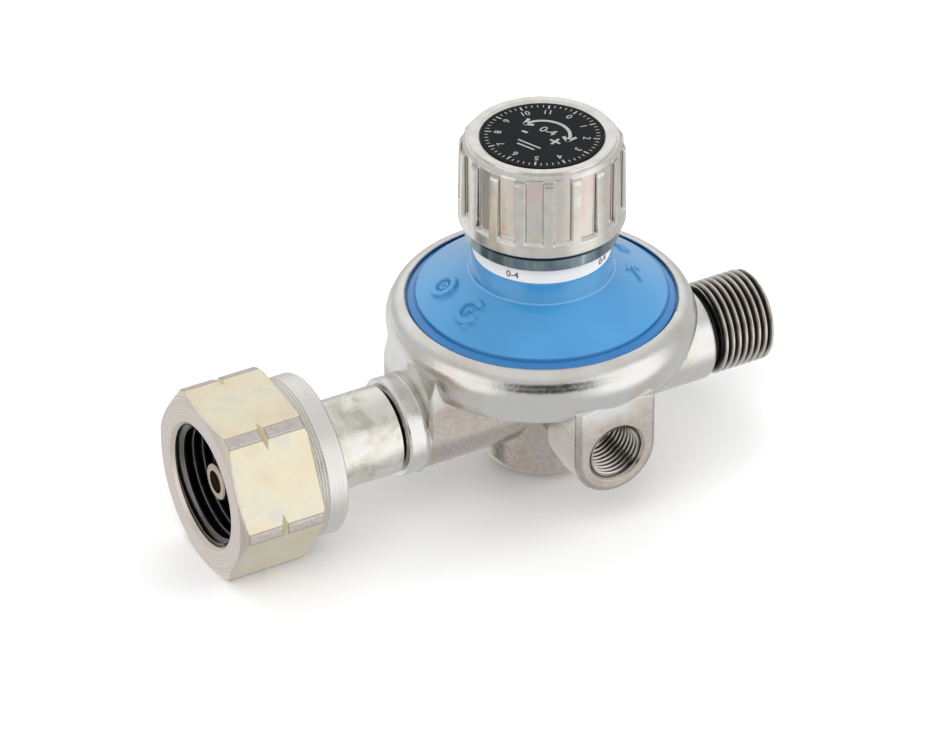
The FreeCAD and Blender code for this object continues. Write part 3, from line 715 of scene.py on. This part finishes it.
def bonnet_cover():
    """Painted cover with its raised marks."""
    path = rounded([(15.9, 21.0, 0), (15.9, 24.15, 0), (16.8, 24.15, 0), (16.8, 23.2, 0),
                    (17.45, 23.15, 0.3), (17.95, 22.05, 0.15), (17.8, 21.85, 0.1),
                    (CONE_LOW_Z - 0.1, 21.72, 0.12), (CONE_LOW_Z, CONE_LOW_R, 0.08),
                    (CONE_HIGH_Z + 0.1, CONE_HIGH_R - 0.1, 0.25), (27.2, 12.2, 0), (27.4, 12.0, 0.08),
                    (27.4, 11.0, 0), (40.4, 11.0, 0), (41.4, 10.0, 0), (41.4, 4.0, 0),
                    (37.8, 4.0, 0), (37.8, 9.3, 0), (24.2, 9.3, 0), (18.0, 19.8, 0),
                    (16.9, 19.8, 0), (16.9, 21.0, 0)])
    low = min(k for k, p in enumerate(path) if p[0] > CONE_LOW_Z + 0.02)
    high = min(k for k, p in enumerate(path) if p[0] > CONE_HIGH_Z - 0.6)
    path = divided(path, 0.13, low - 1, high)
    all_marks = marks()
    coarse = [2.5 * k for k in range(144)]
    fine = [mark["turn"] + 0.45 * k for mark in all_marks for k in range(-32, 33)]
    degrees = sorted({round(d % 360, 2) for d in coarse + fine})
    lean = math.hypot(CONE_LOW_R - CONE_HIGH_R, CONE_HIGH_Z - CONE_LOW_Z)
    out = (CONE_HIGH_Z - CONE_LOW_Z) / lean
    up = (CONE_LOW_R - CONE_HIGH_R) / lean

    def relief(z, r, turn):
        if not (CONE_LOW_Z < z < CONE_HIGH_Z and r > CONE_HIGH_R):
            return z, r
        rise = 0.0
        for mark in all_marks:
            across = math.radians(angle_gap(math.degrees(turn), mark["turn"])) * r
            slant = (mark["radius"] - r) / up
            if math.hypot(across, slant) < mark["reach"]:
                rise = max(rise, max(stroke_height(s, across, slant) for s in mark["strokes"]))
        return z + rise * up, r + rise * out

    piece = turned("bonnet_cover", path, about_z, [math.radians(d) for d in degrees], relief, 50)
    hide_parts("bonnet")
    return piece


# ---- knob -------------------------------------------------------------------------------
def knob_cap():
    """Fluted cap: each grip recess has soft walls, round top corners and a sloping foot."""
    path = rounded([(KNOB_LOW, 12.9, 0), (KNOB_LOW, KNOB_R, 0.35), (KNOB_HIGH_Z + 0.3, KNOB_HIGH_R, 0.6),
                    (49.2, 12.95, 0.12), (49.1, KNOB_RING_R, 0.08), (KNOB_TOP, KNOB_RING_R, 0.22),
                    (KNOB_TOP, 11.35, 0.1), (KNOB_TOP - 0.3, LABEL_R + 0.1, 0), (49.2, LABEL_R + 0.1, 0),
                    (49.2, 6.2, 0), (46.6, 6.2, 0), (46.6, 3.0, 0), (45.6, 3.0, 0), (45.6, 5.6, 0),
                    (44.6, 5.6, 0), (44.6, 12.2, 0), (38.0, 12.2, 0), (38.0, 12.9, 0)])
    wall = min(k for k, p in enumerate(path) if p[0] > KNOB_LOW + 0.3)
    top = min(k for k, p in enumerate(path) if p[0] > 49.0)
    path = divided(path, 0.16, wall, top)
    pitch_deg = 360.0 / FLUTES
    half_deg = math.degrees(FLUTE_HALF / KNOB_R)
    soft_deg = math.degrees(FLUTE_SOFT / KNOB_R)
    local = [0.0, half_deg * 0.35, half_deg * 0.7]
    local += [half_deg + soft_deg * k for k in (-1.6, -1.2, -0.8, -0.4, 0.0, 0.4, 0.8, 1.2, 1.6)]
    local += [half_deg * 1.3 + 0.6]
    steps = sorted({round(d, 4) for d in local + [-d for d in local]} | {pitch_deg / 2})
    degrees = [FLUTE_TURN_DEG + pitch_deg * k + d for k in range(FLUTES) for d in steps]

    def relief(z, r, turn):
        if r < FLUTE_FLOOR_R or z > FLUTE_TOP + 0.3:
            return z, r
        side = abs(angle_gap(math.degrees(turn), FLUTE_TURN_DEG) % pitch_deg)
        side = math.radians(min(side, pitch_deg - side)) * KNOB_R
        floor = FLUTE_FLOOR_R + max(0.0, FLUTE_FOOT_Z - z) * FLUTE_FOOT_SLOPE
        half = FLUTE_HALF
        over = z - (FLUTE_TOP - FLUTE_CORNER)
        if over > 0:
            half += math.sqrt(max(FLUTE_CORNER ** 2 - min(over, FLUTE_CORNER) ** 2, 0)) - FLUTE_CORNER
        inside = smooth_step((half - side) / (2 * FLUTE_SOFT) + 0.5)
        return z, r + (min(floor, r) - r) * inside

    piece = turned("knob_cap", path, about_z, [math.radians(d) for d in degrees], relief, 40)
    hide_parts("knob")
    return piece


# ---- print ------------------------------------------------------------------------------
def flat_text(body, size, bold):
    """Mesh of a text, centred, bold by its outline's offset, in millimetres."""
    curve = bpy.data.curves.new("print", "FONT")
    curve.body = body
    curve.size = size
    curve.align_x, curve.align_y = "CENTER", "CENTER"
    curve.extrude = PRINT_HALF
    curve.offset = bold
    holder = bpy.data.objects.new("print", curve)
    bpy.context.scene.collection.objects.link(holder)
    bpy.context.view_layer.update()
    mesh = bpy.data.meshes.new_from_object(holder.evaluated_get(bpy.context.evaluated_depsgraph_get()))
    bpy.data.objects.remove(holder)
    bpy.data.curves.remove(curve)
    return mesh


def add_text(build, body, size, move, bold=0.0):
    """Adds a text to build, each point moved by move(across, up, thick)."""
    mesh = flat_text(body, size, bold)
    before = len(build.verts)
    build.from_mesh(mesh)
    bpy.data.meshes.remove(mesh)
    build.verts.ensure_lookup_table()
    for vertex in build.verts[before:]:
        vertex.co = move(*vertex.co)


def add_bar(build, path, half_width, move):
    """Adds a flat printed line along path, each point moved by move(across, up, thick)."""
    sides = []
    for k, (x, y) in enumerate(path):
        a, b = path[max(k - 1, 0)], path[min(k + 1, len(path) - 1)]
        along = Vector((b[0] - a[0], b[1] - a[1])).normalized() * half_width
        left, right = (x - along.y, y + along.x), (x + along.y, y - along.x)
        ring = [(*left, PRINT_HALF), (*right, PRINT_HALF), (*right, -PRINT_HALF), (*left, -PRINT_HALF)]
        sides.append([build.verts.new(move(*p)) for p in ring])
    for a, b in zip(sides, sides[1:]):
        for k in range(4):
            j = (k + 1) % 4
            build.faces.new((a[k], b[k], b[j], a[j]))
    build.faces.new(sides[0])
    build.faces.new(sides[-1][::-1])


def scale_print():
    """The range in figures on the white ring, printed twice."""
    build = bmesh.new()
    for centre_deg in SCALE_PRINT_DEG:
        def wrap(across, up, thick, centre=math.radians(centre_deg)):
            return about_z(SCALE_PRINT_Z + up, SCALE_R + PRINT_LIFT + thick, centre + across / SCALE_R)
        add_text(build, GENERIC_RANGE, 1.75, wrap)
    return mesh_piece("scale_print", build)


def polar(radius, deg):
    """Flat point at a radius and an angle."""
    return radius * math.cos(math.radians(deg)), radius * math.sin(math.radians(deg))


def label_print():
    """Silver dial print: ticks and figures round the edge, a curved arrow between - and +."""
    build = bmesh.new()
    turn = Matrix.Rotation(math.radians(DIAL_LEAN_DEG), 2)

    def lay(across, up, thick):
        x, y = turn @ Vector((across, up))
        return Vector((KNOB_X + x, y, LABEL_TOP + PRINT_LIFT + thick))

    def lay_at(x0, y0, lean_deg):
        lean = Matrix.Rotation(math.radians(lean_deg), 2)

        def move(across, up, thick):
            x, y = lean @ Vector((across, up))
            return lay(x0 + x, y0 + y, thick)
        return move

    tick_deg = 360 / DIAL_TICKS
    figure_deg = 360 / DIAL_FIGURES
    for k in range(DIAL_TICKS):
        start_r, half = (8.7, 0.14) if k % (DIAL_TICKS // DIAL_FIGURES) == 0 else (9.15, 0.08)
        add_bar(build, [polar(start_r, tick_deg * k), polar(DIAL_TICK_END_R, tick_deg * k)], half, lay)
    for k in range(DIAL_FIGURES):
        place = polar(DIAL_FIGURE_R, 90 - figure_deg * k)
        add_text(build, str(k), 1.8, lay_at(*place, -figure_deg * k), 0.015)
    add_bar(build, arc(DIAL_ARROW_R, 150, 30), 0.30, lay)
    for foot_deg, way in ((150, 1), (30, -1)):
        tip = polar(DIAL_ARROW_R, foot_deg + way * 18)
        for r in (DIAL_ARROW_R - 1.1, DIAL_ARROW_R, DIAL_ARROW_R + 1.1):
            add_bar(build, [polar(r, foot_deg), tip], 0.30, lay)
    add_text(build, "-", 4.2, lay_at(-3.0, -0.6, 0), 0.06)
    add_text(build, "+", 4.2, lay_at(3.0, -0.6, 0), 0.06)
    add_text(build, GENERIC_RANGE, 2.4, lay_at(0.0, 1.6, 0), 0.02)
    for row, half_length in enumerate((2.4, 1.8)):
        up = -3.6 - 1.0 * row
        add_bar(build, [(-half_length, up), (half_length, up)], 0.17, lay)
    return mesh_piece("label_print", build)


# ---- stage, lights and camera -----------------------------------------------------------
def add_floor(lowest):
    """Plain pale floor under the object. Metal mirrors the studio's own lower half instead of it."""
    look = Look("floor_white", Roughness=0.6)
    colour = look.ramp(look.noise(160.0, detail=1), [(0.3, (0.93, 0.93, 0.93)), (0.7, (0.95, 0.95, 0.95))])
    bpy.ops.mesh.primitive_plane_add(size=8, location=(0, 0, lowest))
    floor = bpy.context.object
    floor.name = "floor"
    floor.visible_glossy = False
    floor.data.materials.append(look.done(Base_Color=colour))


def softbox(name, position, size, power):
    """Area light that faces the object. It lights without being mirrored in the metal."""
    light = bpy.data.lights.new(name, "AREA")
    light.shape = "RECTANGLE"
    light.size, light.size_y = size
    light.energy = power
    lamp = bpy.data.objects.new(name, light)
    bpy.context.scene.collection.objects.link(lamp)
    lamp.location = position
    aim = Vector(CAMERA_TARGET) * MM - Vector(position)
    lamp.rotation_euler = aim.to_track_quat("-Z", "Y").to_euler()
    lamp.visible_glossy = False


def add_lights():
    """Three soft area lights, which light the paint and the prints."""
    softbox("key", (-0.55, -0.55, 1.10), (1.2, 1.2), 9.0)
    softbox("fill", (0.95, -0.35, 0.60), (0.9, 0.9), 5.0)
    softbox("back", (0.25, 1.00, 0.85), (1.3, 0.8), 5.0)


def add_studio():
    """World whose brightness changes with direction only, for the metal to mirror."""
    world = bpy.data.worlds.new("studio")
    bpy.context.scene.world = world
    world.use_nodes = True
    nodes, links = world.node_tree.nodes, world.node_tree.links

    def vector_math(operation, source, vector=(0, 0, 0)):
        node = nodes.new("ShaderNodeVectorMath")
        node.operation = operation
        links.new(source, node.inputs[0])
        node.inputs[1].default_value = vector
        return node.outputs["Value" if operation == "LENGTH" else "Vector"]

    ray = nodes.new("ShaderNodeTexCoord").outputs["Generated"]
    brightness = None
    for direction, widths, value in STUDIO:
        away = vector_math("SUBTRACT", ray, Vector(direction).normalized())
        share = nodes.new("ShaderNodeMapRange")
        share.interpolation_type = "SMOOTHSTEP"
        links.new(vector_math("LENGTH", vector_math("DIVIDE", away, widths)), share.inputs["Value"])
        share.inputs["From Min"].default_value = PATCH_END
        share.inputs["From Max"].default_value = PATCH_FULL
        mix = nodes.new("ShaderNodeMix")
        links.new(share.outputs[0], mix.inputs[0])
        mix.inputs[2].default_value = STUDIO_PLAIN
        if brightness:
            links.new(brightness, mix.inputs[2])
        mix.inputs[3].default_value = value
        brightness = mix.outputs[0]
    background = nodes["Background"]
    background.inputs["Color"].default_value = (1, 1, 1, 1)
    links.new(brightness, background.inputs["Strength"])


def add_camera():
    """Camera at its azimuth, elevation and roll, looking at CAMERA_TARGET."""
    azimuth, elevation = math.radians(CAMERA_AZIMUTH), math.radians(CAMERA_ELEVATION)
    roll = math.radians(CAMERA_ROLL)
    back = Vector((math.sin(azimuth) * math.cos(elevation),
                   -math.cos(azimuth) * math.cos(elevation), math.sin(elevation)))
    right = Vector((math.cos(azimuth), math.sin(azimuth), 0))
    up = back.cross(right)
    across = right * math.cos(roll) + up * math.sin(roll)
    upward = up * math.cos(roll) - right * math.sin(roll)
    data = bpy.data.cameras.new("camera")
    data.sensor_width = 36
    data.lens = CAMERA_LENS
    data.clip_start = 0.01
    camera = bpy.data.objects.new("camera", data)
    bpy.context.scene.collection.objects.link(camera)
    place = Matrix((across, upward, back)).transposed().to_4x4()
    place.translation = (Vector(CAMERA_TARGET) + back * CAMERA_DISTANCE) * MM
    camera.matrix_world = place
    bpy.context.scene.camera = camera


# ---- the scene --------------------------------------------------------------------------
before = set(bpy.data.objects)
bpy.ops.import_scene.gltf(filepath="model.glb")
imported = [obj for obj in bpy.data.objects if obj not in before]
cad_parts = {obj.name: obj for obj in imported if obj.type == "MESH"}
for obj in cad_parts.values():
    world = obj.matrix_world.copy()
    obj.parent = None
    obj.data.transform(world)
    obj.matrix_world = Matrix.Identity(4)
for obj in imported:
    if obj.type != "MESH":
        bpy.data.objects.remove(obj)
cad_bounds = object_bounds()
materials = all_materials()
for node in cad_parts.values():
    first = node.material_slots[0]
    first.material = materials[first.material.name]


def finish_piece(piece, body, slot, look=None):
    """Gives a piece its slot's material, or a look of its own, and lets it ride on its body."""
    piece.data.materials.append(look or materials[slot])
    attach(piece, body)


finish_piece(outlet_stud(), "housing", "thread_steel")
# Painted shade: the thread deep in the union nut is dark grey even at its crests.
finish_piece(nut_thread(), "nut_body", "nut_passivated",
             thread_steel("nut_thread", 0, (0, 0, 0), NUT_THREAD_R, NUT_CREST_R, (0.20, 0.20, 0.21)))
finish_piece(port_thread(), "housing", "cast_zinc",
             thread_steel("port_thread", 1, (KNOB_X, 0, 0), PORT_THREAD_R, PORT_CREST_R))
finish_piece(bonnet_cover(), "housing", "blue_paint")
finish_piece(knob_cap(), "knob_body", "knob_zinc")
finish_piece(scale_print(), "housing", "label_black")
finish_piece(label_print(), "knob_body", "plated_steel")

add_camera()
add_lights()
add_studio()
add_floor(cad_bounds[0][2])
bpy.context.scene.view_settings.view_transform = "Standard"
